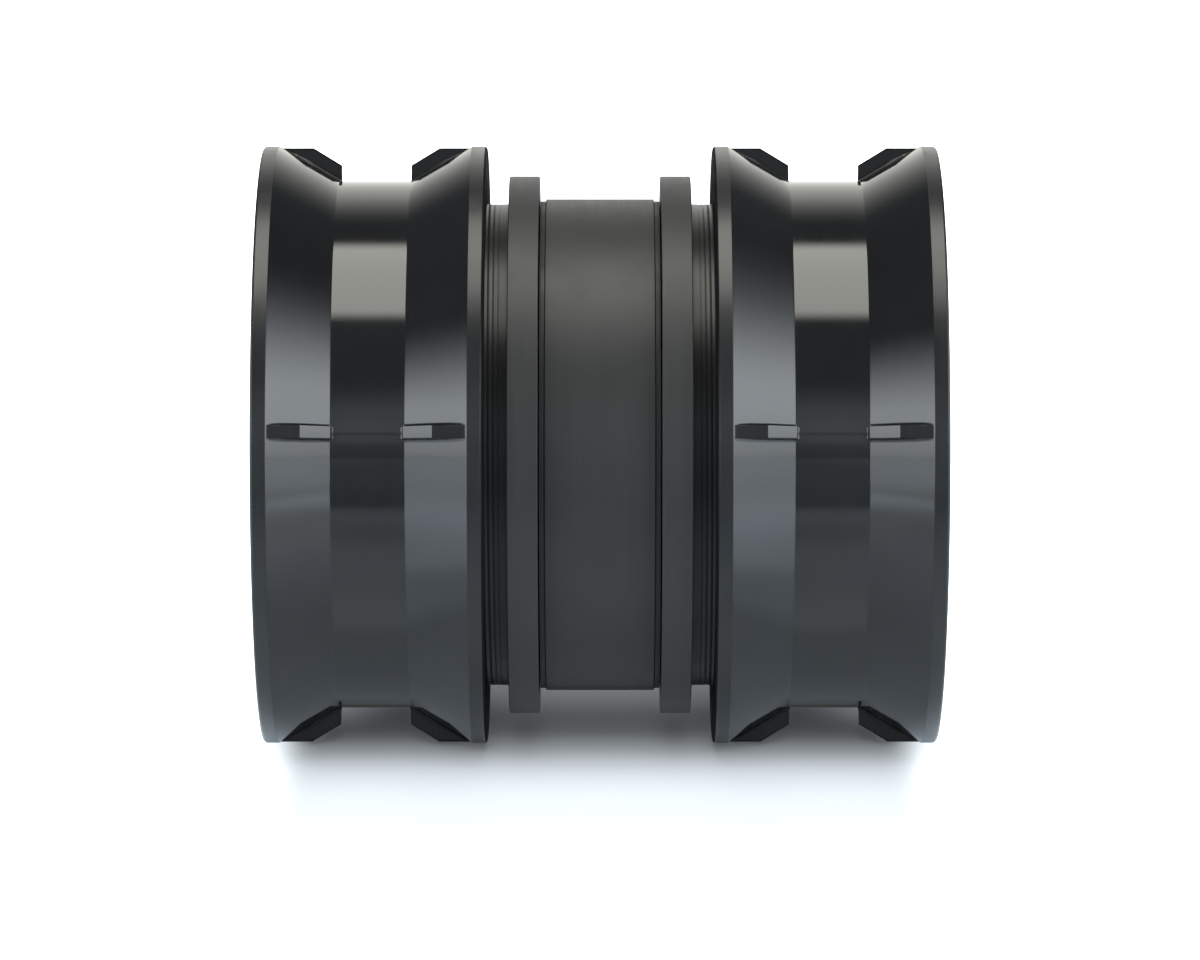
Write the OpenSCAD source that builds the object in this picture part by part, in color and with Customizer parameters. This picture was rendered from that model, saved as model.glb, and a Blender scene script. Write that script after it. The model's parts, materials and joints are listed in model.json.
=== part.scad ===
// Oldham coupling: two threaded hubs slide across a floating disc, at right angles to each other.
// A ribbed nut on each hub drives a split collet into a taper, which grips the shaft.
// X is the shaft axis, Z is up, and the origin is the middle of the disc. All sizes are in millimetres.

/* [Shafts] */
// Diameter of the shaft that each collet grips
shaft_d = 20; // [18:0.5:20.5]

/* [Floating disc] */
// Diameter of the disc
disc_d = 49.4; // [48.8:0.1:51]
// Distance between the two hub faces, which the disc fills
face_gap = 12.1; // [11.5:0.1:14]
// Thickness of the thrust washer on each face of the disc
washer_t = 0.55; // [0.4:0.05:1]
// Width of each tongue, over its pads
tongue_w = 10; // [8:0.5:11]
// Length of each tongue
tongue_l = 41.8; // [38:0.2:42]
// Height of each tongue above the hub's face
tongue_h = 3.2; // [2.5:0.1:3.4]
// How far the disc can slide each way in a slot
slide_travel = 2; // [1:0.25:2]

/* [Hubs] */
// Diameter of the hub's flange ring
flange_d = 54; // [53:0.5:57]
// Thickness of the hub's flange ring
flange_t = 3; // [2.5:0.1:3.4]
// Outside diameter of the hub's thread
thread_d = 48.4; // [48:0.1:48.8]
// Pitch of the hub's thread
thread_pitch = 0.5; // [0.4:0.05:0.75]
// Length of the bare thread between the flange and the nut
neck_l = 2.25; // [1.5:0.25:3]

/* [Clamping nuts] */
// Outside diameter of the nut's rims
nut_d = 60; // [59:0.5:64]
// Length of the nut along the shaft
nut_l = 22.4; // [22:0.1:24]
// Diameter of the groove's floor
groove_d = 52.9; // [52.5:0.1:54]
// Width of the flat land at each edge of the nut
land_w = 1.5; // [1:0.1:2]
// Width of each sloping flank of the groove
flank_w = 6.1; // [5.5:0.1:6.5]
// Thickness of each grip rib
rib_t = 1.3; // [1:0.1:1.6]
// Number of grip ribs on each flank
rib_count = 4; // [3:1:8]
// Angle of the first rib above the horizontal
rib_clock = 8.1; // [0:0.1:45]

/* [Hidden] */
$fn = 96;

cut = 1;            // how far a cutting shape runs past what it cuts
fit_gap = 0.05;     // gap between pieces that run on each other
edge = 0.25;        // bevel on outside edges
left = -1;
right = 1;

// Floating disc
hub_face = face_gap / 2;
washer_d = disc_d - 0.4;
washer_bore = tongue_l + 1;
disc_half = hub_face - 2 * fit_gap - washer_t;
disc_bore = 7;
pad_t = 1;
pad_l = 32;

// Hub, along the shaft from its face outwards
flange_end = hub_face + flange_t;
slot_floor = hub_face + tongue_h + 0.4;
lip_end = slot_floor + 1.75;
lip_bore = 17;
slot_w = tongue_w + 2 * fit_gap;
slot_l = tongue_l + 2 * (slide_travel + 2 * fit_gap);
groove_depth = 0.16;
groove_count = 9;

// Clamping nut, along the shaft from its inner edge outwards
nut_start = flange_end + neck_l;
nut_end = nut_start + nut_l;
web_t = 1.85;
web_start = nut_end - web_t;
nut_bore = thread_d + 2 * fit_gap;
web_bore = 31;
rib_top = nut_d / 2 - 0.1;
rib_flat = 4.85;
rib_foot_r = nut_d / 2 - 1.83;
rib_length = land_w + flank_w + 0.1;

// Clamping parts inside the nut
ring_t = 1.45;
ring_start = web_start - fit_gap - ring_t;
ring_bore = 24.4;
seal_t = 1.15;
seal_gap = 0.1;
collet_end = ring_start - fit_gap;
collet_start = lip_end + 0.5;
collet_seat_r = 12.6;
collet_mouth_r = 14.9;
barrel_end = ring_start - 1.95;
spring_t = 0.75;
spring_start = ring_start - 0.1 - spring_t;
spring_r = nut_bore / 2 + 0.65;
spring_w = 2.4;
slit_w = 1.2;
slit_count = 6;
slit_web = 4;
pin_d = 2;
pin_x = collet_start + 9;
screw_d = 3;
screw_l = 1.7;
screw_circle = 38;
screw_count = 3;
hex_d = 1.7;

// A solid of revolution about the shaft axis: each point is [radius, x]
module turned(points) {
    rotate([0, 90, 0]) rotate_extrude() polygon(points);
}

// A plain ring about the shaft axis
module ring(outer_r, inner_r, from, to) {
    turned([[inner_r, from], [outer_r, from], [outer_r, to], [inner_r, to]]);
}

// Draws what is made for the right end, or its mirror image at the left end
module at_end(end) {
    if (end == right) children();
    else mirror([1, 0, 0]) children();
}

// A bar with round ends, centred on the shaft axis and running up along Z
module bar(length, width, from, to) {
    reach = (length - width) / 2;
    translate([from, -width / 2, -reach]) cube([to - from, width, 2 * reach]);
    for (z = [-reach, reach])
        translate([from, 0, z]) rotate([0, 90, 0]) cylinder(d = width, h = to - from);
}

// The left tongue runs up along Z, and the right tongue across along Y
function tongue_turn(end) = end == left ? 0 : 90;

// Radius of the collet's taper at a place along the shaft
function taper_r(x) = collet_seat_r
    + (collet_mouth_r - collet_seat_r) * (x - collet_start) / (barrel_end - collet_start);

// Two pads, one on each side of a tongue that runs up along Z
module tongue_pad_pair(height) {
    for (side = [-1, 1])
        translate([disc_half, side * (tongue_w - pad_t) / 2 - pad_t / 2, -pad_l / 2])
            cube([height, pad_t, pad_l]);
}

module tongue(end) {
    at_end(end) rotate([tongue_turn(end), 0, 0]) difference() {
        bar(tongue_l, tongue_w, disc_half - edge, hub_face + tongue_h);
        tongue_pad_pair(2 * tongue_h + cut);
    }
}

module centre_disc() {
    color("#3a3c3c") difference() {
        union() {
            turned([
                [0, -disc_half], [disc_d / 2 - edge, -disc_half], [disc_d / 2, -disc_half + edge],
                [disc_d / 2, disc_half - edge], [disc_d / 2 - edge, disc_half], [0, disc_half]
            ]);
            tongue(left);
            tongue(right);
        }
        ring(disc_bore / 2, 0, -hub_face - tongue_h - cut, hub_face + tongue_h + cut);
    }
}

module thrust_washer(end) {
    color("#262828") at_end(end)
        ring(washer_d / 2, washer_bore / 2, disc_half, disc_half + washer_t);
}

module tongue_pads(end) {
    color("#d8d4c4") at_end(end) rotate([tongue_turn(end), 0, 0])
        tongue_pad_pair(hub_face + tongue_h - disc_half);
}

// Shallow rings cut into the barrel, one thread pitch apart
module thread_grooves() {
    for (turn = [1 : groove_count]) {
        x = flange_end + turn * thread_pitch;
        turned([
            [thread_d / 2 - groove_depth, x],
            [thread_d / 2 + groove_depth, x - thread_pitch / 2],
            [thread_d / 2 + groove_depth, x + thread_pitch / 2]
        ]);
    }
}

module hub(end) {
    color("#343636") at_end(end) difference() {
        turned([
            [lip_bore / 2, hub_face], [flange_d / 2 - edge, hub_face], [flange_d / 2, hub_face + edge],
            [flange_d / 2, flange_end - edge], [flange_d / 2 - edge, flange_end],
            [thread_d / 2, flange_end], [thread_d / 2, barrel_end - 2 * edge],
            [thread_d / 2 - 2 * edge, barrel_end], [taper_r(barrel_end), barrel_end],
            [taper_r(lip_end), lip_end], [lip_bore / 2, lip_end]
        ]);
        rotate([tongue_turn(end), 0, 0]) bar(slot_l, slot_w, hub_face - cut, slot_floor);
        thread_grooves();
        translate([pin_x, 0, 0]) cylinder(d = pin_d, h = thread_d);
    }
}

// One grip rib on the flank nearest the nut's inner edge, standing up along Z
module grip_rib() {
    translate([nut_start, rib_t / 2, 0]) rotate([90, 0, 0]) linear_extrude(rib_t) polygon([
        [land_w / 2, nut_bore / 2 + cut], [land_w / 2, rib_top], [rib_flat, rib_top],
        [rib_length, rib_foot_r], [rib_length, nut_bore / 2 + cut]
    ]);
}

module grip_ribs() {
    for (i = [0 : rib_count - 1]) rotate([90 - rib_clock + i * 360 / rib_count, 0, 0]) {
        grip_rib();
        translate([nut_start + nut_end, 0, 0]) mirror([1, 0, 0]) grip_rib();
    }
}

module clamp_nut(end) {
    outer_r = nut_d / 2;
    floor_r = groove_d / 2;
    color("#1c1e1e") at_end(end) difference() {
        union() {
            turned([
                [nut_bore / 2, nut_start], [outer_r - edge, nut_start], [outer_r, nut_start + edge],
                [outer_r, nut_start + land_w], [floor_r, nut_start + land_w + flank_w],
                [floor_r, nut_end - land_w - flank_w], [outer_r, nut_end - land_w],
                [outer_r, nut_end - edge], [outer_r - edge, nut_end],
                [web_bore / 2 + edge, nut_end], [web_bore / 2, nut_end - edge],
                [web_bore / 2, web_start], [nut_bore / 2, web_start]
            ]);
            grip_ribs();
        }
        ring(spring_r, nut_bore / 2 - cut, spring_start, spring_start + spring_t);
        screw_places() translate([0, 0, web_start - cut]) cylinder(d = screw_d, h = web_t + 2 * cut);
    }
}

module thrust_ring(end) {
    color("#b08d4f") at_end(end)
        ring(nut_bore / 2 - 4 * fit_gap, ring_bore / 2, ring_start, ring_start + ring_t);
}

// A spring ring with a gap at the bottom, so that it can be squeezed into its groove
module retaining_ring(end) {
    color("#8d9094") at_end(end) difference() {
        ring(spring_r, spring_r - spring_w, spring_start, spring_start + spring_t);
        translate([spring_start - cut, -spring_w, -spring_r - cut])
            cube([spring_t + 2 * cut, 2 * spring_w, spring_w + 2 * cut]);
    }
}

// A taper bush with one slit right through and the others stopping short of its inner end
module collet(end) {
    color("#9fa3a6") at_end(end) difference() {
        turned([
            [shaft_d / 2, collet_start], [taper_r(collet_start), collet_start],
            [taper_r(barrel_end), barrel_end], [taper_r(barrel_end), collet_end],
            [shaft_d / 2, collet_end]
        ]);
        for (i = [0 : slit_count - 1]) rotate([(i + 0.5) * 360 / slit_count, 0, 0])
            translate([i == 0 ? collet_start - cut : collet_start + slit_web, -slit_w / 2, 0])
                cube([collet_end, slit_w, thread_d]);
        translate([pin_x, 0, 0]) cylinder(d = pin_d + 4 * fit_gap, h = thread_d);
    }
}

module collet_pin(end) {
    color("#8d9094") at_end(end)
        translate([pin_x, 0, shaft_d / 2 + 1]) cylinder(d = pin_d, h = thread_d / 2 - shaft_d / 2 - 1.5);
}

module shaft_seal(end) {
    seal_start = ring_start + (ring_t - seal_t) / 2;
    lip_r = shaft_d / 2 + seal_gap;
    color("#141414") at_end(end) turned([
        [lip_r, seal_start + seal_t / 2 - 0.2], [lip_r + 0.4, seal_start], [ring_bore / 2, seal_start],
        [ring_bore / 2, seal_start + seal_t], [lip_r + 0.4, seal_start + seal_t],
        [lip_r, seal_start + seal_t / 2 + 0.2]
    ]);
}

// Repeats its children around the nut's end face, each along the shaft axis
module screw_places() {
    for (i = [0 : screw_count - 1]) rotate([i * 360 / screw_count, 0, 0])
        translate([0, 0, screw_circle / 2]) rotate([0, 90, 0]) children();
}

module lock_screws(end) {
    color("#55585a") at_end(end) screw_places() translate([0, 0, web_start + 0.1]) difference() {
        cylinder(d = screw_d, h = screw_l);
        translate([0, 0, screw_l / 3]) cylinder(d = hex_d, h = screw_l, $fn = 6);
    }
}

centre_disc();
thrust_washer(left);  // left_thrust_washer
thrust_washer(right);  // right_thrust_washer
tongue_pads(left);  // left_tongue_pads
tongue_pads(right);  // right_tongue_pads
hub(left);  // left_hub
clamp_nut(left);  // left_clamp_nut
thrust_ring(left);  // left_thrust_ring
retaining_ring(left);  // left_retaining_ring
collet(left);  // left_collet
collet_pin(left);  // left_collet_pin
shaft_seal(left);  // left_shaft_seal
lock_screws(left);  // left_lock_screws
hub(right);  // right_hub
clamp_nut(right);  // right_clamp_nut
thrust_ring(right);  // right_thrust_ring
retaining_ring(right);  // right_retaining_ring
collet(right);  // right_collet
collet_pin(right);  // right_collet_pin
shaft_seal(right);  // right_shaft_seal
lock_screws(right);  // right_lock_screws
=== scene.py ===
"""Looks of an Oldham coupling with ribbed clamping nuts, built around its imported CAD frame."""
import json
import math

import bmesh
import bpy
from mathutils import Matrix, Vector


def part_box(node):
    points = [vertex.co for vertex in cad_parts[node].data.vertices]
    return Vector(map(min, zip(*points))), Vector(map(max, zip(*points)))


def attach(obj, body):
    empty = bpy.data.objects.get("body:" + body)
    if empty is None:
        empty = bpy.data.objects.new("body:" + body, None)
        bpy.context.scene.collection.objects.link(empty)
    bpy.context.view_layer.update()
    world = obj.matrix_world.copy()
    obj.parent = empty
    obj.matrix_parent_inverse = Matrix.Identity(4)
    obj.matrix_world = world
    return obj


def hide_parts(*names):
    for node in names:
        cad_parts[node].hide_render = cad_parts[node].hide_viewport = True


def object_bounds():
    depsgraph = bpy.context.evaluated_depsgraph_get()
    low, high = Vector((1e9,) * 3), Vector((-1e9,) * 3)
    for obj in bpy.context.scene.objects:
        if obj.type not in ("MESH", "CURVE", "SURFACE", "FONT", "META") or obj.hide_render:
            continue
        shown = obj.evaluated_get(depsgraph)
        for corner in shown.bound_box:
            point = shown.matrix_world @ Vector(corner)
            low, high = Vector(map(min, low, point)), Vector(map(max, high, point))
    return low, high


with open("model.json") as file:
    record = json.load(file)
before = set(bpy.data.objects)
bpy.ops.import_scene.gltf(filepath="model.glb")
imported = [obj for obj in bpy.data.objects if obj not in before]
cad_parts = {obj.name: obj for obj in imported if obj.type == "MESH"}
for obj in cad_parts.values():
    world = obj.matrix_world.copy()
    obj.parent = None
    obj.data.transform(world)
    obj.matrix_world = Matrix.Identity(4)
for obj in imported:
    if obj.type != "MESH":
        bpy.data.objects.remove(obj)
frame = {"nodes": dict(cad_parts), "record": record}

cad_low, cad_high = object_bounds()

# ---------------------------------------------------------------- sizes, in millimetres

MM = 0.001
ENDS = {"left": -1, "right": 1}


def box_mm(node):
    low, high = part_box(node)
    return low / MM, high / MM


hub_low, hub_high = box_mm("right_hub")
nut_low, nut_high = box_mm("right_clamp_nut")
ring_low, ring_high = box_mm("right_thrust_ring")
seal_low, seal_high = box_mm("right_shaft_seal")
collet_low, collet_high = box_mm("right_collet")
screw_low, screw_high = box_mm("right_lock_screws")
_, disc_high = box_mm("centre_disc")
washer_low, washer_high = box_mm("right_thrust_washer")
pad_low, pad_high = box_mm("left_tongue_pads")
pin_low, pin_high = box_mm("right_collet_pin")

SHAFT_R = frame["record"]["mounts"][0]["dims"]["r_mm"]

HUB_FACE, BARREL_END, FLANGE_R = hub_low.x, hub_high.x, hub_high.z
FLANGE_W = 3.0
FLANGE_END = HUB_FACE + FLANGE_W
THREAD_R = 24.2
THREAD_PITCH = 0.5
THREAD_DEPTH = 0.028
SLOT_FLOOR = disc_high.x + 0.4
LIP_END = SLOT_FLOOR + 1.75
LIP_R = 8.5
SLOT_LENGTH, SLOT_WIDTH = 46.0, 10.1

NUT_START, NUT_END, NUT_R = nut_low.x, nut_high.x, nut_high.z
GROOVE_R = 26.45
NUT_BORE_R = 24.25
WEB_START = ring_high.x + 0.05
WEB_BORE_R = 15.5
LAND_W = 1.5
FLANK_W = 6.1
RIB_TOP_R = NUT_R - 0.1
RIB_FOOT_R = NUT_R - 1.83
RIB_FLAT = 4.85
RIB_END = LAND_W + FLANK_W + 0.1
RIB_FILLET = 0.15
RIB_CLOCK = math.radians(8.1)
RIB_COUNT = 4
SPRING_START, SPRING_END, SPRING_R = ring_low.x - 0.85, ring_low.x - 0.1, 24.9

DISC_R = disc_high.z
DISC_HALF = washer_low.x
DISC_BORE_R = 3.5
TONGUE_END = disc_high.x
TONGUE_LENGTH, TONGUE_WIDTH = 41.8, 10.0
SCREW_R = 1.5
SCREW_CIRCLE_R = screw_high.z - SCREW_R
SCREW_COUNT = 3
SLIT_COUNT, SLIT_WIDTH, SLIT_WEB = 6, 1.2, 4.0
COLLET_SEAT_R, COLLET_MOUTH_R = 12.6, 14.9
PIN_X = (pin_low.x + pin_high.x) / 2
PIN_R = (pin_high.x - pin_low.x) / 2

FLOOR_Z = cad_low.z

# ---------------------------------------------------------------- mesh tools


def round_direction(angle):
    """Unit direction around the shaft axis: 0 faces the front, a quarter turn faces up."""
    return Vector((0, -math.cos(angle), math.sin(angle)))


def rounded_outline(corners, steps=4):
    """Closed outline of [along, out] points through (along, out, corner radius) corners."""
    points = []
    for i, (along, out, radius) in enumerate(corners):
        corner = Vector((along, out))
        back = Vector(corners[i - 1][:2]) - corner
        ahead = Vector(corners[(i + 1) % len(corners)][:2]) - corner
        if radius == 0:
            points.append(corner)
            continue
        half = back.angle(ahead) / 2
        reach = min(radius / math.tan(half), 0.48 * back.length, 0.48 * ahead.length)
        radius = reach * math.tan(half)
        middle = (back.normalized() + ahead.normalized()).normalized()
        centre = corner + middle * (radius / math.sin(half))
        first = corner + back.normalized() * reach - centre
        last = corner + ahead.normalized() * reach - centre
        for k in range(steps + 1):
            points.append(centre + first.slerp(last, k / steps).normalized() * radius)
    return points


def split_outline(points, stops, least_out):
    """Adds a point at each stop, a place along the axis, where the outline is at least that far out."""
    result = []
    for i, point in enumerate(points):
        after = points[(i + 1) % len(points)]
        result.append(point)
        if min(point.y, after.y) < least_out or abs(after.x - point.x) < 1e-6:
            continue
        low, high = sorted((point.x, after.x))
        inside = sorted(s for s in stops if low + 1e-4 < s < high - 1e-4)
        for stop in inside if after.x > point.x else reversed(inside):
            result.append(point.lerp(after, (stop - point.x) / (after.x - point.x)))
    return result


def new_object(name, vertices, faces, end="right"):
    """A mesh object from millimetre points, mirrored to the left end if that is where it goes."""
    mesh = bpy.data.meshes.new(name)
    side = ENDS[end]
    mesh.from_pydata([(side * v[0] * MM, v[1] * MM, v[2] * MM) for v in vertices], [], faces)
    cleaned = bmesh.new()
    cleaned.from_mesh(mesh)
    bmesh.ops.remove_doubles(cleaned, verts=cleaned.verts, dist=1e-8)
    bmesh.ops.recalc_face_normals(cleaned, faces=cleaned.faces)
    cleaned.to_mesh(mesh)
    cleaned.free()
    obj = bpy.data.objects.new(name, mesh)
    bpy.context.scene.collection.objects.link(obj)
    return obj


def even_angles(count):
    return [2 * math.pi * k / count for k in range(count)]


def turned(name, outline, end="right", angles=None, shape=None):
    """Turns a closed outline round the shaft axis. shape(along, out, angle) may change the radius."""
    angles = angles or even_angles(192)
    rows = len(outline)
    vertices = []
    for angle in angles:
        spoke = round_direction(angle)
        for point in outline:
            out = shape(point.x, point.y, angle) if shape else point.y
            vertices.append((point.x, spoke.y * out, spoke.z * out))
    faces = []
    for a in range(len(angles)):
        b = (a + 1) % len(angles)
        for i in range(rows):
            j = (i + 1) % rows
            faces.append((a * rows + i, a * rows + j, b * rows + j, b * rows + i))
    return new_object(name, vertices, faces, end)


def prism_faces(count):
    """Faces of a prism whose vertices are its first end and then its second end, of count points each."""
    faces = [tuple(range(count)), tuple(range(2 * count - 1, count - 1, -1))]
    return faces + [(i, (i + 1) % count, count + (i + 1) % count, count + i) for i in range(count)]


def prism(name, section, start, stop, end="right"):
    """A prism along the shaft axis from a section of (y, z) points."""
    vertices = [(x, y, z) for x in (start, stop) for y, z in section]
    return new_object(name, vertices, prism_faces(len(section)), end)


def turned_section(section, angle):
    c, s = math.cos(angle), math.sin(angle)
    return [(y * c - z * s, y * s + z * c) for y, z in section]


def bar_section(length, width, steps=20):
    """A bar with round ends, running up along Z."""
    reach = (length - width) / 2
    points = []
    for side in (1, -1):
        for k in range(steps + 1):
            a = math.pi * k / steps
            points.append((side * width / 2 * math.cos(a), side * (reach + width / 2 * math.sin(a))))
    return points


def rectangle(width, height, y=0.0, z=0.0):
    return [(y + a * width / 2, z + b * height / 2) for a, b in ((1, 1), (-1, 1), (-1, -1), (1, -1))]


def circle(radius, count, y=0.0, z=0.0):
    return [(y + radius * math.cos(a), z + radius * math.sin(a)) for a in even_angles(count)]


def bake_modifiers(obj):
    """Replaces the object's mesh by what its modifiers make of it."""
    view = bpy.context.evaluated_depsgraph_get()
    mesh = bpy.data.meshes.new_from_object(obj.evaluated_get(view))
    obj.modifiers.clear()
    obj.data = mesh


def combine(obj, others, operation):
    for other in others:
        boolean = obj.modifiers.new("combine", "BOOLEAN")
        boolean.operation = operation
        boolean.solver = "EXACT"
        boolean.object = other
        bake_modifiers(obj)
        bpy.data.objects.remove(other)


def join(objects):
    """Joins the objects' meshes into the first one."""
    joined = bmesh.new()
    for obj in objects:
        joined.from_mesh(obj.data)
    joined.to_mesh(objects[0].data)
    joined.free()
    for obj in objects[1:]:
        bpy.data.objects.remove(obj)
    return objects[0]


def finish_edges(obj, width=0.0, sharp=math.radians(40)):
    """Breaks the sharp edges with a small round, then shades smooth with true flats."""
    if width:
        bevel = obj.modifiers.new("broken_edges", "BEVEL")
        bevel.width = width * MM
        bevel.segments = 2
        bevel.limit_method = "ANGLE"
        bevel.angle_limit = sharp
        bevel.use_clamp_overlap = True
        bake_modifiers(obj)
    obj.data.shade_smooth()
    obj.data.set_sharp_from_angle(angle=sharp)
    normals = obj.modifiers.new("even_normals", "WEIGHTED_NORMAL")
    normals.keep_sharp = True
    bake_modifiers(obj)
    return obj


# ---------------------------------------------------------------- materials


class Nodes:
    """Short calls for building a node tree."""

    def __init__(self, tree):
        self.tree = tree

    def add(self, kind, inputs=None, **settings):
        node = self.tree.nodes.new(kind)
        for key, value in settings.items():
            setattr(node, key, value)
        for key, value in (inputs or {}).items():
            if isinstance(value, bpy.types.NodeSocket):
                self.tree.links.new(value, node.inputs[key])
            else:
                node.inputs[key].default_value = value
        return node

    def math(self, operation, a, b=0.0):
        return self.add("ShaderNodeMath", {0: a, 1: b}, operation=operation).outputs[0]

    def product(self, first, *others):
        for other in others:
            first = self.math("MULTIPLY", first, other)
        return first

    def rest(self, share):
        """What a share leaves of one."""
        return self.math("SUBTRACT", 1.0, share)

    def mixed(self, share, a, b):
        """The value a where the share is one, and b where it is nothing."""
        return self.math("ADD", self.product(share, a), self.product(self.rest(share), b))

    def scaled(self, colour, level):
        return self.add("ShaderNodeVectorMath", {0: colour, 1: level}, operation="MULTIPLY").outputs[0]

    def between(self, value, low, high, to_low, to_high):
        """Maps low..high smoothly to to_low..to_high."""
        node = self.add(
            "ShaderNodeMapRange",
            {"Value": value, "From Min": low, "From Max": high, "To Min": to_low, "To Max": to_high},
            interpolation_type="SMOOTHSTEP",
        )
        return node.outputs["Result"]

    def rising(self, value, low, high):
        return self.between(value, low, high, 0.0, 1.0)

    def falling(self, value, low, high):
        return self.between(value, low, high, 1.0, 0.0)

    def noise(self, vector, scale, detail=3.0, roughness=0.55):
        node = self.add(
            "ShaderNodeTexNoise",
            {"Vector": vector, "Scale": scale, "Detail": detail, "Roughness": roughness},
        )
        return node.outputs["Fac"]

    def ramp(self, value, stops):
        node = self.add("ShaderNodeValToRGB", {"Fac": value})
        while len(node.color_ramp.elements) < len(stops):
            node.color_ramp.elements.new(0.5)
        for element, (place, colour) in zip(node.color_ramp.elements, stops):
            element.position = place
            element.color = (*colour, 1)
        return node.outputs["Color"]

    def bump(self, height, distance, normal=None):
        inputs = {"Height": height, "Distance": distance, "Strength": 1.0}
        if normal is not None:
            inputs["Normal"] = normal
        return self.add("ShaderNodeBump", inputs).outputs["Normal"]


# Circular streaks: noise is read on a thin tube of this radius in metres, and its place along the tube
# follows the piece's x plus this share of its radius, so that flat faces have streaks too
STREAK_RADIUS = 0.0006
STREAK_SLANT = 1.37
# Painted shade: within the thread's radius, on the neck and the hub's inner surfaces, the colour is this
# share as light
INSIDE_THREAD_PAINTED_SHADE = 0.4


def turned_coordinates(nodes):
    """Place on the piece, place around the axis squeezed to make circular streaks, and radius in metres."""
    place = nodes.add("ShaderNodeTexCoord").outputs["Object"]
    x, y, z = nodes.add("ShaderNodeSeparateXYZ", {0: place}).outputs
    radius = nodes.math("SQRT", nodes.math("ADD", nodes.product(y, y), nodes.product(z, z)))
    across = nodes.math("ADD", x, nodes.product(radius, STREAK_SLANT))
    safe = nodes.math("MAXIMUM", radius, 1e-5)
    spin_y, spin_z = (nodes.product(nodes.math("DIVIDE", side, safe), STREAK_RADIUS) for side in (y, z))
    streak = nodes.add("ShaderNodeCombineXYZ", {0: across, 1: spin_y, 2: spin_z}).outputs[0]
    return place, streak, radius


def new_material(name):
    material = bpy.data.materials.new(name)
    material.use_nodes = True
    shader = material.node_tree.nodes["Principled BSDF"]
    return material, Nodes(material.node_tree), shader


def connect(nodes, shader, links):
    for name, socket in links.items():
        nodes.tree.links.new(socket, shader.inputs[name])


def plastic(name, dark, light, gloss, streak_depth, grain_depth, smudge=0.2, thread_gloss=None, specular=0.5):
    """Moulded plastic: cloudy colour, smudges, dust, fine circular tool lines and moulding grain.

    The two depths are in millimetres. With thread_gloss, the part within the thread's radius, the neck and
    the hub's inner surfaces, has a darker colour as painted shade, and that roughness.
    """
    material, nodes, shader = new_material(name)
    place, streak, radius = turned_coordinates(nodes)
    clouds = nodes.noise(place, 90, 4)
    lines = nodes.noise(streak, 2600, 3, 0.7)
    grain = nodes.noise(place, 5200, 2)
    smudges = nodes.noise(place, 240, 5, 0.6)
    dust = nodes.rising(nodes.noise(place, 3800, 2, 0.4), 0.70, 0.80)
    shade = nodes.math("ADD", nodes.product(clouds, 0.7), nodes.product(lines, 0.3))
    shade = nodes.math("ADD", shade, nodes.product(dust, 0.25))
    colour = nodes.ramp(shade, [(0.30, dark), (0.72, light)])
    rough = nodes.between(smudges, 0.35, 0.75, gloss * (1 - smudge), gloss * (1 + smudge))
    rough = nodes.math("ADD", rough, nodes.product(lines, gloss * 0.25))
    shader.inputs["Specular IOR Level"].default_value = specular
    if thread_gloss:
        above_thread = nodes.rising(radius, (THREAD_R + 0.1) * MM, (THREAD_R + 0.6) * MM)
        rough = nodes.product(rough, nodes.between(above_thread, 0.0, 1.0, thread_gloss / gloss, 1.0))
        # Painted shade: a darker colour within the thread's radius
        colour = nodes.scaled(colour, nodes.between(above_thread, 0.0, 1.0, INSIDE_THREAD_PAINTED_SHADE, 1.0))
    relief = nodes.bump(lines, streak_depth * MM)
    relief = nodes.bump(grain, grain_depth * MM, normal=relief)
    connect(nodes, shader, {"Base Color": colour, "Roughness": rough, "Normal": relief})
    return material


def metal(name, dark, light, gloss, streak_depth):
    """Turned or ground metal: tool lines round the axis and faint staining."""
    material, nodes, shader = new_material(name)
    place, streak, _ = turned_coordinates(nodes)
    lines = nodes.noise(streak, 4200, 4, 0.75)
    stains = nodes.noise(place, 160, 5)
    shade = nodes.math("ADD", nodes.product(lines, 0.55), nodes.product(stains, 0.45))
    colour = nodes.ramp(shade, [(0.32, dark), (0.68, light)])
    rough = nodes.between(nodes.math("ADD", lines, stains), 0.7, 1.3, gloss * 0.75, gloss * 1.4)
    relief = nodes.bump(lines, streak_depth * MM)
    connect(nodes, shader, {"Base Color": colour, "Roughness": rough, "Normal": relief})
    shader.inputs["Metallic"].default_value = 1.0
    return material


def rubber(name):
    material, nodes, shader = new_material(name)
    place, _, _ = turned_coordinates(nodes)
    bloom = nodes.noise(place, 350, 5)
    grain = nodes.noise(place, 6500, 3)
    colour = nodes.ramp(bloom, [(0.35, (0.009, 0.009, 0.010)), (0.75, (0.024, 0.024, 0.023))])
    rough = nodes.between(bloom, 0.3, 0.7, 0.55, 0.75)
    relief = nodes.bump(grain, 0.012 * MM)
    connect(nodes, shader, {"Base Color": colour, "Roughness": rough, "Normal": relief})
    return material


NUT_COLOURS = (0.0058, 0.0062, 0.0066), (0.0105, 0.0110, 0.0115)

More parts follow.
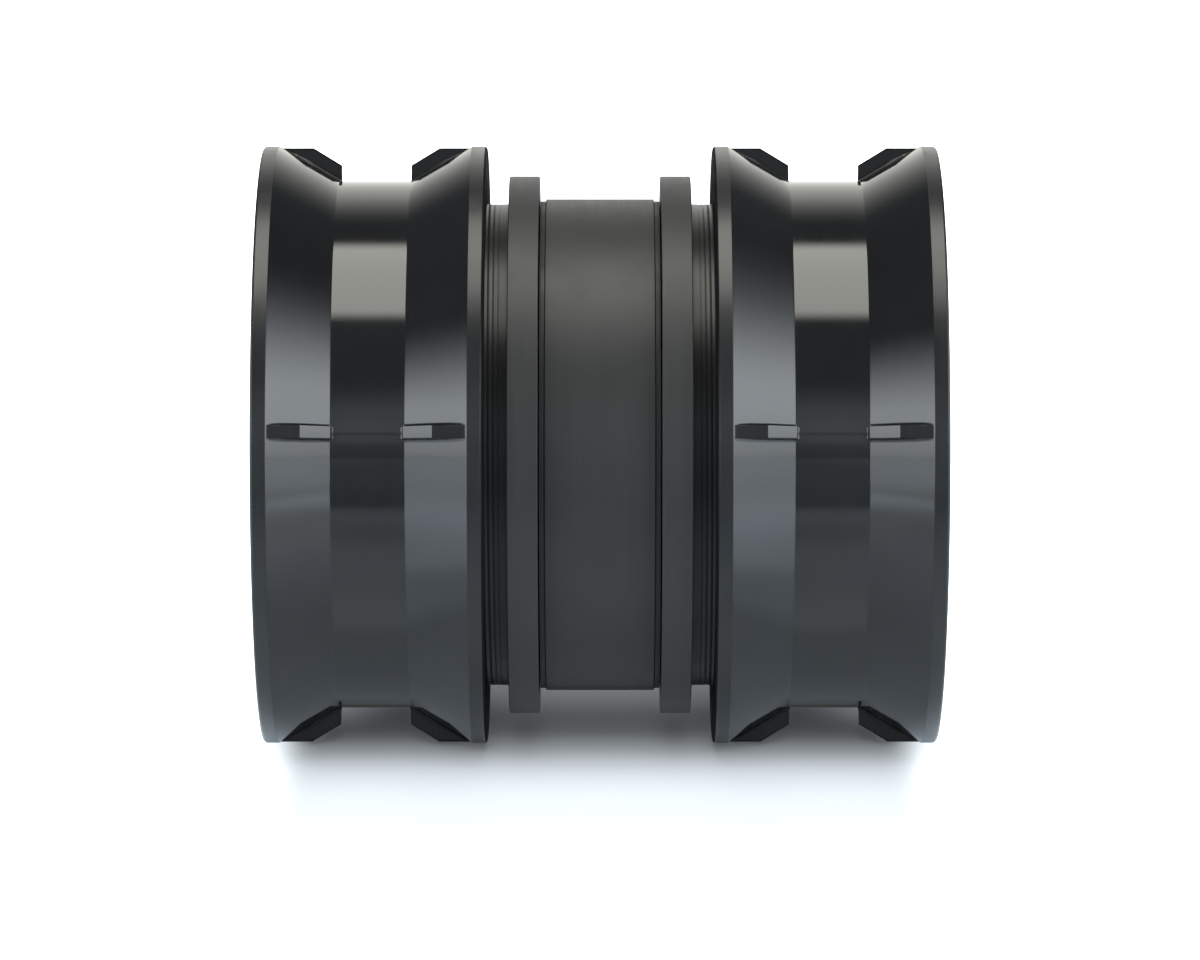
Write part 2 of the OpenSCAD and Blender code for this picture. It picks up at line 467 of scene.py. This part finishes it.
MATERIALS = {
    "nut_plastic": plastic("nut_plastic", *NUT_COLOURS, 0.085, 0.0006, 0.0008),
    "hub_plastic": plastic(
        "hub_plastic", (0.0150, 0.0155, 0.0150), (0.0230, 0.0235, 0.0228), 0.41, 0.0040, 0.0030,
        smudge=0.06, thread_gloss=0.30, specular=0.30,
    ),
    "disc_plastic": plastic(
        "disc_plastic", (0.0150, 0.0155, 0.0152), (0.0235, 0.0240, 0.0235), 0.40, 0.0028, 0.0030,
        smudge=0.06, specular=0.27,
    ),
    "washer_plastic": plastic(
        "washer_plastic", (0.0105, 0.0105, 0.0107), (0.0165, 0.0165, 0.0165), 0.45, 0.0020, 0.0030,
        specular=0.26,
    ),
    "pad_plastic": plastic(
        "pad_plastic", (0.56, 0.54, 0.47), (0.70, 0.68, 0.61), 0.30, 0.0015, 0.0030
    ),
    "bronze": metal("bronze", (0.20, 0.13, 0.060), (0.36, 0.24, 0.120), 0.30, 0.004),
    "collet_steel": metal("collet_steel", (0.30, 0.305, 0.31), (0.50, 0.505, 0.51), 0.20, 0.003),
    "spring_steel": metal("spring_steel", (0.16, 0.165, 0.18), (0.34, 0.35, 0.37), 0.26, 0.002),
    "screw_steel": metal("screw_steel", (0.11, 0.11, 0.115), (0.20, 0.20, 0.205), 0.32, 0.002),
    "seal_rubber": rubber("seal_rubber"),
}

# The nut is polished in its groove alone: its other surfaces are as they came from the mould
NUT_FINISHES = {
    "rim": plastic("nut_rim_plastic", *NUT_COLOURS, 0.28, 0.0006, 0.0020, smudge=0.12, specular=0.36),
    "rib": plastic("nut_rib_plastic", *NUT_COLOURS, 0.22, 0.0004, 0.0020, specular=0.25),
    "face": plastic("nut_face_plastic", *NUT_COLOURS, 0.60, 0.0015, 0.0030, specular=0.01),
}

SLOT_OF = {row["node"]: row["material_slot"] for row in frame["record"]["subparts"]}
BODY_OF = {node: body for body, nodes in frame["record"]["behaviour"]["bodies"].items() for node in nodes}


def put(piece, node):
    """Shows the piece in place of its CAD node, on that node's body and in its material."""
    slot = SLOT_OF[node]
    piece.data.materials.clear()
    piece.data.materials.append(MATERIALS[slot])
    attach(piece, BODY_OF[node])
    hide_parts(node)


# ---------------------------------------------------------------- pieces


def rib_angles():
    return [RIB_CLOCK + k * 2 * math.pi / RIB_COUNT for k in range(RIB_COUNT)]


# Distances from a rib's middle line to its shoulder, its side and the end of the fillet at its foot
RIB_SHOULDER, RIB_SIDE, RIB_FOOT = 0.50, 0.655, 1.08
SHOULDER_DROP = 0.4
FILLET_SHARE = 0.227
SEAM_HALF = 0.14
SEAM_HEIGHT = 0.015


def rib_share(distance):
    """Share of a rib's full height at a distance from its middle line."""
    if distance <= RIB_SIDE:
        past = max(0.0, distance - RIB_SHOULDER) / (RIB_SIDE - RIB_SHOULDER)
        return 1 - SHOULDER_DROP * past ** 12
    left = max(0.0, RIB_FOOT - distance) / (RIB_FOOT - RIB_SIDE)
    return FILLET_SHARE * left ** 3.5


def seam_share(distance):
    return max(0.0, 1 - (distance / SEAM_HALF) ** 2)


def rib_radius(along):
    """Radius of a rib's top edge with the small fillet at its end, or nothing where there is no rib."""
    depth = min(along - NUT_START, NUT_END - along)
    if depth < LAND_W or depth > RIB_END + RIB_FILLET:
        return 0.0
    if depth > RIB_END:
        return GROOVE_R + 2 * RIB_FILLET * (1 - (depth - RIB_END) / RIB_FILLET) ** 2
    if depth <= RIB_FLAT:
        return RIB_TOP_R
    share = (depth - RIB_FLAT) / (RIB_END - RIB_FLAT)
    return RIB_TOP_R + (RIB_FOOT_R - RIB_TOP_R) * share


def nut_radius(along, out, angle):
    """The turned outline with its grip ribs and the mould seam across the groove's floor."""
    if out < GROOVE_R - 0.01:
        return out
    turn = 2 * math.pi / RIB_COUNT
    offset = abs((angle - RIB_CLOCK + turn / 2) % turn - turn / 2) * NUT_R
    rib = rib_radius(along) - out
    if rib > 0:
        return out + rib * rib_share(offset)
    if out < GROOVE_R + 0.01:
        return out + SEAM_HEIGHT * seam_share(offset)
    return out


def nut_angles():
    """Close together across each rib and even between the ribs."""
    near = [0.0, SEAM_HALF / 2, SEAM_HALF, RIB_SHOULDER]
    near += [RIB_SHOULDER + (RIB_SIDE - RIB_SHOULDER) * share for share in (0.4, 0.65, 0.84, 0.94, 1.0)]
    near += [RIB_SIDE + 0.005 + (RIB_FOOT - RIB_SIDE) * share for share in (0.0, 0.12, 0.28, 0.48, 0.72, 1.0)]
    near += [RIB_FOOT + 0.06, RIB_FOOT + 0.14]
    quarter = 2 * math.pi / RIB_COUNT
    gap_start = near[-1] / NUT_R
    steps_between = 44
    angles = []
    for middle in rib_angles():
        angles += [middle - d / NUT_R for d in reversed(near[1:])]
        angles += [middle + d / NUT_R for d in near]
        span = quarter - 2 * gap_start
        angles += [middle + gap_start + span * k / steps_between for k in range(1, steps_between)]
    return angles


def nut_outline():
    floor_start = NUT_START + LAND_W + FLANK_W
    floor_end = NUT_END - LAND_W - FLANK_W
    outline = rounded_outline([
        (NUT_START, NUT_BORE_R, 0.2), (NUT_START, NUT_R, 0.3), (NUT_START + LAND_W, NUT_R, 0.15),
        (floor_start, GROOVE_R, 0.15), (floor_end, GROOVE_R, 0.15), (NUT_END - LAND_W, NUT_R, 0.15),
        (NUT_END, NUT_R, 0.3), (NUT_END, WEB_BORE_R, 0.35), (WEB_START, WEB_BORE_R, 0.1),
        (WEB_START, NUT_BORE_R, 0.0), (SPRING_END, NUT_BORE_R, 0.0), (SPRING_END, SPRING_R, 0.0),
        (SPRING_START, SPRING_R, 0.0), (SPRING_START, NUT_BORE_R, 0.0),
    ])
    # Rows across the ribs, close together where a rib's top bends and where it ends
    depths = [LAND_W + 0.17, LAND_W + 0.6, 3.2, RIB_FLAT - 0.12, RIB_FLAT, RIB_FLAT + 0.12, 6.3]
    depths += [RIB_END - 0.30, RIB_END - 0.06, RIB_END - 0.01, RIB_END + 0.01]
    depths += [RIB_END + RIB_FILLET * share for share in (0.12, 0.3, 0.6, 1.0)] + [RIB_END + 0.7]
    stops = [NUT_START + d for d in depths] + [NUT_END - d for d in depths]
    return split_outline(outline, stops, GROOVE_R - 0.001)


def screw_angles():
    """The first screw stands straight up from the axis."""
    return [math.pi / 2 - k * 2 * math.pi / SCREW_COUNT for k in range(SCREW_COUNT)]


def screw_centres():
    spokes = [round_direction(angle) for angle in screw_angles()]
    return [(SCREW_CIRCLE_R * spoke.y, SCREW_CIRCLE_R * spoke.z) for spoke in spokes]


def nut_finish(place, lean):
    """Finish of a nut's face, by its middle in millimetres and how far it faces along the axis."""
    along, out = abs(place.x), math.hypot(place.y, place.z)
    depth = min(along - NUT_START, NUT_END - along)
    if along < NUT_START + 0.3 and lean > 0.3:
        return "face"
    if out > NUT_R - 0.25 and depth < LAND_W + 0.1:
        return "rim"
    cone = max(GROOVE_R, NUT_R - (depth - LAND_W) * (NUT_R - GROOVE_R) / FLANK_W)
    at_rib_end = RIB_END - 0.02 < depth < RIB_END + RIB_FILLET
    if out > cone + 0.03 and (lean < 0.3 or at_rib_end):
        return "rib"
    return None


def build_nut(end):
    nut = turned(f"{end}_clamp_nut_shell", nut_outline(), end, nut_angles(), nut_radius)
    holes = [
        prism("hole", circle(SCREW_R, 48, y, z), WEB_START - 1, NUT_END + 1, end)
        for y, z in screw_centres()
    ]
    combine(nut, holes, "DIFFERENCE")
    put(finish_edges(nut), f"{end}_clamp_nut")
    finishes = list(NUT_FINISHES)
    for material in NUT_FINISHES.values():
        nut.data.materials.append(material)
    for face in nut.data.polygons:
        finish = nut_finish(face.center / MM, abs(face.normal.x))
        if finish:
            face.material_index = 1 + finishes.index(finish)


def thread_radius(end):
    """A shallow right-hand thread that runs out before the flange and the barrel's end."""
    runout = 0.35

    def radius(along, out, angle):
        if abs(out - THREAD_R) > 1e-6:
            return out
        depth = min(along - FLANGE_END, BARREL_END - along) - runout
        fade = max(0.0, min(1.0, depth / runout))
        phase = along / THREAD_PITCH + ENDS[end] * angle / (2 * math.pi)
        wave = 0.5 + 0.5 * math.cos(2 * math.pi * phase)
        narrowed = wave ** 1.5
        return out - THREAD_DEPTH * fade * narrowed

    return radius


def build_hub(end):
    lead = (BARREL_END - LIP_END) / (BARREL_END - collet_low.x)
    socket_r = COLLET_MOUTH_R - (COLLET_MOUTH_R - COLLET_SEAT_R) * lead
    outline = rounded_outline([
        (HUB_FACE, LIP_R, 0.0), (HUB_FACE, FLANGE_R, 0.06), (FLANGE_END, FLANGE_R, 0.12),
        (FLANGE_END, THREAD_R, 0.0), (BARREL_END, THREAD_R, 0.35),
        (BARREL_END, COLLET_MOUTH_R, 0.2), (LIP_END, socket_r, 0.0), (LIP_END, LIP_R, 0.0),
    ])
    rows_per_turn = 7
    count = int((BARREL_END - FLANGE_END) / THREAD_PITCH * rows_per_turn)
    stops = [FLANGE_END + (BARREL_END - FLANGE_END) * k / count for k in range(1, count)]
    outline = split_outline(outline, stops, THREAD_R - 0.001)
    hub = turned(f"{end}_hub_shell", outline, end, even_angles(168), thread_radius(end))
    quarter = 0 if end == "left" else math.pi / 2
    slot = turned_section(bar_section(SLOT_LENGTH, SLOT_WIDTH), quarter)
    cutters = [prism("slot", slot, HUB_FACE - 1, SLOT_FLOOR, end), pin_drill(PIN_R, end)]
    combine(hub, cutters, "DIFFERENCE")
    put(finish_edges(hub), f"{end}_hub")


def pin_drill(radius, end):
    """Cutter for the collet pin's hole, straight up from the axis."""
    section = circle(radius, 32, PIN_X)
    vertices = [(x, y, z) for z in (SHAFT_R - 2, THREAD_R + 2) for x, y in section]
    return new_object("drill", vertices, prism_faces(len(section)), end)


def build_disc():
    edge = 0.08
    outline = rounded_outline([
        (-DISC_HALF, DISC_BORE_R, 0.0), (-DISC_HALF, DISC_R, edge),
        (DISC_HALF, DISC_R, edge), (DISC_HALF, DISC_BORE_R, 0.0),
    ])
    disc = turned("centre_disc_shell", outline)
    for end, quarter in (("left", 0), ("right", math.pi / 2)):
        bar = turned_section(bar_section(TONGUE_LENGTH, TONGUE_WIDTH), quarter)
        combine(disc, [prism("tongue", bar, DISC_HALF - 0.3, TONGUE_END, end)], "UNION")
        pads = [
            prism("recess", turned_section(pad_section(side), quarter), DISC_HALF, TONGUE_END + 1, end)
            for side in (-1, 1)
        ]
        combine(disc, pads, "DIFFERENCE")
    bore = prism("bore", circle(DISC_BORE_R, 96), -TONGUE_END - 1, TONGUE_END + 1)
    combine(disc, [bore], "DIFFERENCE")
    put(finish_edges(disc), "centre_disc")


def pad_section(side):
    thickness = 1.0
    length = pad_high.z - pad_low.z
    return rectangle(thickness, length, side * (TONGUE_WIDTH - thickness) / 2)


def build_washer(end):
    bore_r, edge = 21.4, 0.05
    outline = rounded_outline([
        (washer_low.x, bore_r, edge), (washer_low.x, washer_high.z, edge),
        (washer_high.x, washer_high.z, edge), (washer_high.x, bore_r, edge),
    ])
    put(finish_edges(turned(f"{end}_washer_ring", outline, end)), f"{end}_thrust_washer")


def build_pads(end):
    quarter = 0 if end == "left" else math.pi / 2
    strips = [
        prism("pad", turned_section(pad_section(side), quarter), DISC_HALF, TONGUE_END, end)
        for side in (-1, 1)
    ]
    pads = join(strips)
    pads.name = f"{end}_tongue_pad_strips"
    put(finish_edges(pads, 0.1), f"{end}_tongue_pads")


def build_thrust_ring(end):
    inner = seal_high.z
    outline = rounded_outline([
        (ring_low.x, inner, 0.1), (ring_low.x, ring_high.z, 0.15), (ring_high.x, ring_high.z, 0.15),
        (ring_high.x, inner, 0.15),
    ])
    put(finish_edges(turned(f"{end}_thrust_ring_plate", outline, end)), f"{end}_thrust_ring")


def build_seal(end):
    middle = (seal_low.x + seal_high.x) / 2
    outer = seal_high.z
    lip = SHAFT_R + 0.1
    outline = rounded_outline([
        (middle - 0.2, lip, 0.08), (seal_low.x, lip + 0.45, 0.15), (seal_low.x, outer, 0.1),
        (seal_high.x, outer, 0.1), (seal_high.x, outer - 0.5, 0.12), (seal_high.x - 0.25, outer - 0.8, 0.15),
        (seal_high.x, lip + 0.7, 0.15), (middle + 0.2, lip, 0.08),
    ])
    put(finish_edges(turned(f"{end}_shaft_seal_ring", outline, end)), f"{end}_shaft_seal")


def build_collet(end):
    outline = rounded_outline([
        (collet_low.x, SHAFT_R, 0.25), (collet_low.x, COLLET_SEAT_R, 0.3), (BARREL_END, COLLET_MOUTH_R, 0.0),
        (collet_high.x, COLLET_MOUTH_R, 0.3), (collet_high.x, SHAFT_R, 0.35),
    ])
    collet = turned(f"{end}_collet_bush", outline, end)
    slits = []
    for k in range(SLIT_COUNT):
        start = collet_low.x - 1 if k == 0 else collet_low.x + SLIT_WEB
        slot = rectangle(SLIT_WIDTH, 20, 0, 10)
        angle = (k + 0.5) * 2 * math.pi / SLIT_COUNT
        slits.append(prism("slit", turned_section(slot, angle), start, collet_high.x + 1, end))
    combine(collet, slits + [pin_drill(PIN_R + 0.1, end)], "DIFFERENCE")
    put(finish_edges(collet, 0.08), f"{end}_collet")


def build_screws(end):
    socket_r = 0.98
    screws = []
    outline = rounded_outline([
        (screw_low.x, 0.0, 0.0), (screw_low.x, 0.9, 0.1), (screw_low.x + 0.5, SCREW_R, 0.1),
        (screw_high.x, SCREW_R, 0.2), (screw_high.x, 0.0, 0.0),
    ])
    for y, z in screw_centres():
        screw = turned("screw", outline, end, even_angles(48))
        socket = prism("socket", circle(socket_r, 6), screw_low.x + 0.7, screw_high.x + 1, end)
        combine(screw, [socket], "DIFFERENCE")
        screw.data.transform(screw.matrix_world.Translation(Vector((0, y * MM, z * MM))))
        screws.append(screw)
    group = join(screws)
    group.name = f"{end}_lock_screw_set"
    put(finish_edges(group, 0.03), f"{end}_lock_screws")


def dress_cad_nodes():
    """Gives the CAD nodes that stay their materials."""
    for end in ENDS:
        for node in (f"{end}_retaining_ring", f"{end}_collet_pin"):
            obj = frame["nodes"][node]
            obj.data.materials.clear()
            obj.data.materials.append(MATERIALS[SLOT_OF[node]])


build_disc()
for each_end in ENDS:
    build_nut(each_end)
    build_hub(each_end)
    build_washer(each_end)
    build_pads(each_end)
    build_thrust_ring(each_end)
    build_seal(each_end)
    build_collet(each_end)
    build_screws(each_end)
dress_cad_nodes()

# ---------------------------------------------------------------- studio, in metres

FLOOR_HALF = 6.0
STRIP_DISTANCE = 1.5
STRIP_WIDTH, STRIP_DEPTH = 0.26, 0.85
CAMERA_ELEVATION = 6.0
CAMERA_DISTANCE = 0.640
CAMERA_LENS, SENSOR_WIDTH = 190.6, 36.0
AIM_BELOW_AXIS = 0.00356


def plane(name):
    mesh = bpy.data.meshes.new(name)
    corners = [(a * FLOOR_HALF, b * FLOOR_HALF, FLOOR_Z) for a, b in ((-1, -1), (1, -1), (1, 1), (-1, 1))]
    mesh.from_pydata(corners, [], [(0, 1, 2, 3)])
    obj = bpy.data.objects.new(name, mesh)
    bpy.context.scene.collection.objects.link(obj)
    obj.visible_shadow = False
    return obj


def floor_places(nodes):
    """Place on the floor, depth behind the axis, distance to either side and distance from the part."""
    place = nodes.add("ShaderNodeTexCoord").outputs["Object"]
    across, deep, _ = nodes.add("ShaderNodeSeparateXYZ", {0: place}).outputs
    far = nodes.add("ShaderNodeVectorMath", {0: place}, operation="LENGTH").outputs["Value"]
    return place, deep, nodes.math("ABSOLUTE", across), far


def painted_contact_shadow(nodes, deep, aside):
    """Painted shadow on the floor: the share of its colour and glow that is kept, least beneath the middle of
    the part and just behind it.
    """
    behind = nodes.rising(deep, 0.0, 0.020)
    width = nodes.mixed(behind, nodes.falling(aside, 0.020, 0.034), nodes.falling(aside, 0.0295, 0.0345))
    central = nodes.falling(aside, 0.010, 0.020)
    end = nodes.mixed(central, nodes.falling(deep, 0.045, 0.070), nodes.falling(deep, 0.030, 0.055))
    start = nodes.rising(deep, -0.026, 0.020)
    strength = nodes.between(aside, 0.003, 0.026, 0.66, 0.80)
    return nodes.rest(nodes.product(width, start, end, strength))


def build_paper():
    """The floor that the camera sees: pale matt paper with a painted shadow beneath and behind the part,
    painted light beside its ends, and a glow to white away from it.
    """
    paper = plane("floor")
    paper.visible_glossy = False
    material, nodes, shader = new_material("floor_paper_painted_shadow")
    place, deep, aside, far = floor_places(nodes)
    tint = nodes.ramp(nodes.noise(place, 8, 3), [(0.3, (0.436, 0.470, 0.500)), (0.7, (0.441, 0.475, 0.505))])
    # Painted shadow: the paper's colour and faint glow are darkened beneath and behind the part
    shade = painted_contact_shadow(nodes, deep, aside)
    # Painted light: a faint glow kept out of the painted shadow, a glow beside the part's ends that cuts the
    # shadow off there, and a glow that turns the far floor white
    painted_fill_glow = nodes.product(shade, 0.14)
    painted_light_beside_ends = nodes.math("POWER", nodes.rising(aside, 0.0255, 0.0338), 3.0)
    far_glow = nodes.between(far, 0.06, 0.12, 0.0, 1.3)
    glow = nodes.math("ADD", nodes.math("ADD", painted_fill_glow, far_glow), painted_light_beside_ends)
    connect(nodes, shader, {"Base Color": nodes.scaled(tint, shade), "Emission Strength": glow})
    shader.inputs["Emission Color"].default_value = (0.93, 1.0, 1.04, 1)
    shader.inputs["Roughness"].default_value = 0.9
    shader.inputs["Specular IOR Level"].default_value = 0.0
    paper.data.materials.append(material)
    return paper


def build_sheen():
    """The floor that the part reflects: a sheet in the same place, paler than the paper, with a slight sheen
    and painted shade: a painted shadow beneath and just behind the part with no sheen, dimmed areas in front
    of it and past its ends, and dimming with distance.
    """
    sheet = plane("floor_sheen")
    sheet.visible_camera = False
    sheet.visible_diffuse = False
    material, nodes, shader = new_material("floor_sheen_painted_shade")
    place, deep, aside, far = floor_places(nodes)
    # Painted shade, each a share of the floor's colour taken away: a painted shadow beneath and just behind
    # the part, dimmed areas in front of it, past its ends and far in front
    painted_shadow_under = nodes.product(
        nodes.between(deep, -0.004, 0.006, 0.0, 0.97), nodes.falling(deep, 0.05, 0.09),
        nodes.falling(aside, 0.028, 0.038),
    )
    painted_shade_in_front = nodes.product(
        nodes.between(deep, -0.20, -0.12, 0.0, 0.40), nodes.falling(deep, -0.065, -0.045),
        nodes.falling(aside, 0.045, 0.070),
    )
    painted_shade_past_ends = nodes.product(
        nodes.between(aside, 0.027, 0.034, 0.0, 0.35), nodes.falling(aside, 0.040, 0.050),
        nodes.falling(deep, -0.020, -0.010),
    )
    painted_shade_far_front = nodes.product(nodes.falling(deep, -0.10, -0.08), nodes.falling(aside, 0.06, 0.14), 0.85)
    # Painted shade: the floor dims with distance from the part and in the painted areas
    level = nodes.between(far, 0.07, 0.20, 1.0, 0.5)
    level = nodes.product(level, *(nodes.rest(area) for area in (painted_shadow_under, painted_shade_in_front, painted_shade_past_ends, painted_shade_far_front)))
    # Painted light: the reflected floor is paler than the paper that the camera sees
    white = nodes.ramp(nodes.noise(place, 8, 3), [(0.3, (0.63, 0.71, 0.78)), (0.7, (0.64, 0.72, 0.79))])
    # No sheen in the painted shadow beneath the part
    sheen = nodes.product(nodes.rest(painted_shadow_under), 0.5)
    connect(nodes, shader, {"Base Color": nodes.scaled(white, level), "Specular IOR Level": sheen})
    shader.inputs["Roughness"].default_value = 0.22
    sheet.data.materials.append(material)
    return sheet


def spherical(azimuth, elevation):
    """Direction from the object. Azimuth 0 is towards the front, 90 to the right."""
    a, e = math.radians(azimuth), math.radians(elevation)
    return Vector((math.sin(a) * math.cos(e), -math.cos(a) * math.cos(e), math.sin(e)))


def place_facing(obj, aim, elevation, distance):
    """Puts a light or the camera in front of the aim, at that elevation, facing it."""
    direction = spherical(0, elevation)
    obj.location = aim + direction * distance
    obj.rotation_mode = "QUATERNION"
    obj.rotation_quaternion = direction.to_track_quat("Z", "Y")
    bpy.context.scene.collection.objects.link(obj)


def strip_light(name, elevation, floor_light, only_on):
    """A light that is narrow across the coupling and long in depth, so shadows are soft in depth alone."""
    data = bpy.data.lights.new(name, "AREA")
    data.shape = "RECTANGLE"
    data.size, data.size_y = STRIP_WIDTH, STRIP_DEPTH
    data.energy = floor_light * math.pi * STRIP_DISTANCE ** 2 / math.sin(math.radians(elevation))
    lamp = bpy.data.objects.new(name, data)
    lamp.visible_glossy = False
    place_facing(lamp, Vector(), elevation, STRIP_DISTANCE)
    lit = bpy.data.collections.new(f"{name}_lit")
    for obj in only_on:
        lit.objects.link(obj)
    lamp.light_linking.receiver_collection = lit


def build_lights(floors):
    """Strips light the floors alone, from low in front to behind the part. A soft fill lights everything."""
    strip_light("strip_low", 20, 1.1, floors)
    strip_light("strip_front", 54, 1.1, floors)
    strip_light("strip_top", 90, 1.1, floors)
    strip_light("strip_back", 120, 0.8, floors)
    data = bpy.data.lights.new("fill_light", "SUN")
    data.energy = 2.6
    data.angle = math.radians(90)
    fill = bpy.data.objects.new("fill_light", data)
    fill.visible_glossy = False
    place_facing(fill, Vector(), 60, 0)


def softbox(nodes, level, *limits):
    """Level of a box of light in the sky, faded at each (value, low, high, whether it rises) limit."""
    for value, low, high, rises in limits:
        level = nodes.product(level, (nodes.rising if rises else nodes.falling)(value, low, high))
    return level


def reflected_light(nodes):
    """Colour of the sky in reflections, by direction: softboxes above and at both sides, and a pale wall."""
    direction = nodes.add("ShaderNodeTexCoord").outputs["Generated"]
    right, back, up = nodes.add("ShaderNodeSeparateXYZ", {0: direction}).outputs
    degrees = 180 / math.pi
    rise = nodes.product(nodes.math("ARCSINE", up), degrees)
    front = nodes.product(back, -1.0)
    turn = nodes.product(nodes.math("ARCTAN2", right, front), degrees)
    aside = nodes.math("ABSOLUTE", turn)
    height = nodes.math("MAXIMUM", up, 0.02)
    over_x = nodes.math("ABSOLUTE", nodes.math("DIVIDE", right, height))
    over_y = nodes.math("DIVIDE", front, height)

    top = softbox(
        nodes, 6.0, (over_x, 0.42, 0.52, False), (over_y, 0.43, 0.58, False), (over_y, -0.29, -0.155, True)
    )
    sides = (aside, 25, 42, True), (aside, 95, 120, False)
    low_fade = nodes.between(rise, -2, 14, 0.66, 1.0)
    right_box = softbox(nodes, 5.8, (turn, 0, 1, True), *sides, (rise, 18, 49, False))
    left_box = softbox(nodes, 5.5, (turn, -1, 0, False), *sides, (rise, 9, 37, False))
    wall = softbox(nodes, 1.15, (aside, 142, 180, True), (rise, 32, 64, False))
    wall = nodes.product(wall, nodes.between(rise, -1, 8, 0.35, 1.0))
    facing = softbox(nodes, 0.82, (aside, 22, 34, False), (rise, -2, 12, True), (rise, 14, 34, False))
    colour = (0.125, 0.130, 0.135)
    for level, tint in (
        (top, (1.0, 1.0, 0.92)), (nodes.product(low_fade, right_box), (0.92, 0.99, 1.04)),
        (nodes.product(low_fade, left_box), (0.92, 0.99, 1.04)), (wall, (1.0, 1.01, 0.93)),
        (facing, (0.90, 1.0, 1.10)),
    ):
        added = nodes.scaled(tint, level)
        colour = nodes.add("ShaderNodeVectorMath", {0: colour, 1: added}, operation="ADD").outputs[0]
    return colour


def build_world():
    """White to the camera, and a studio in reflections."""
    world = bpy.data.worlds.new("studio")
    world.use_nodes = True
    world.cycles_visibility.diffuse = False
    tree = world.node_tree
    tree.nodes.clear()
    nodes = Nodes(tree)
    lit = nodes.add("ShaderNodeBackground", {"Color": reflected_light(nodes)})
    seen = nodes.add("ShaderNodeBackground", {"Color": (1, 1, 1, 1), "Strength": 1.0})
    camera_ray = nodes.add("ShaderNodeLightPath").outputs["Is Camera Ray"]
    mix = nodes.add("ShaderNodeMixShader", {0: camera_ray, 1: lit.outputs[0], 2: seen.outputs[0]})
    output = nodes.add("ShaderNodeOutputWorld")
    tree.links.new(mix.outputs[0], output.inputs[0])
    bpy.context.scene.world = world


def build_camera():
    """A long lens square to the axis, a little above it."""
    tilt = math.radians(CAMERA_ELEVATION)
    aim = Vector((0, -math.sin(tilt), -math.cos(tilt))) * AIM_BELOW_AXIS
    data = bpy.data.cameras.new("camera")
    data.sensor_width = SENSOR_WIDTH
    data.lens = CAMERA_LENS
    data.clip_start, data.clip_end = 0.05, 20.0
    camera = bpy.data.objects.new("camera", data)
    place_facing(camera, aim, CAMERA_ELEVATION, CAMERA_DISTANCE)
    bpy.context.scene.camera = camera


build_lights((build_paper(), build_sheen()))
build_world()
build_camera()
bpy.context.scene.view_settings.view_transform = "Standard"
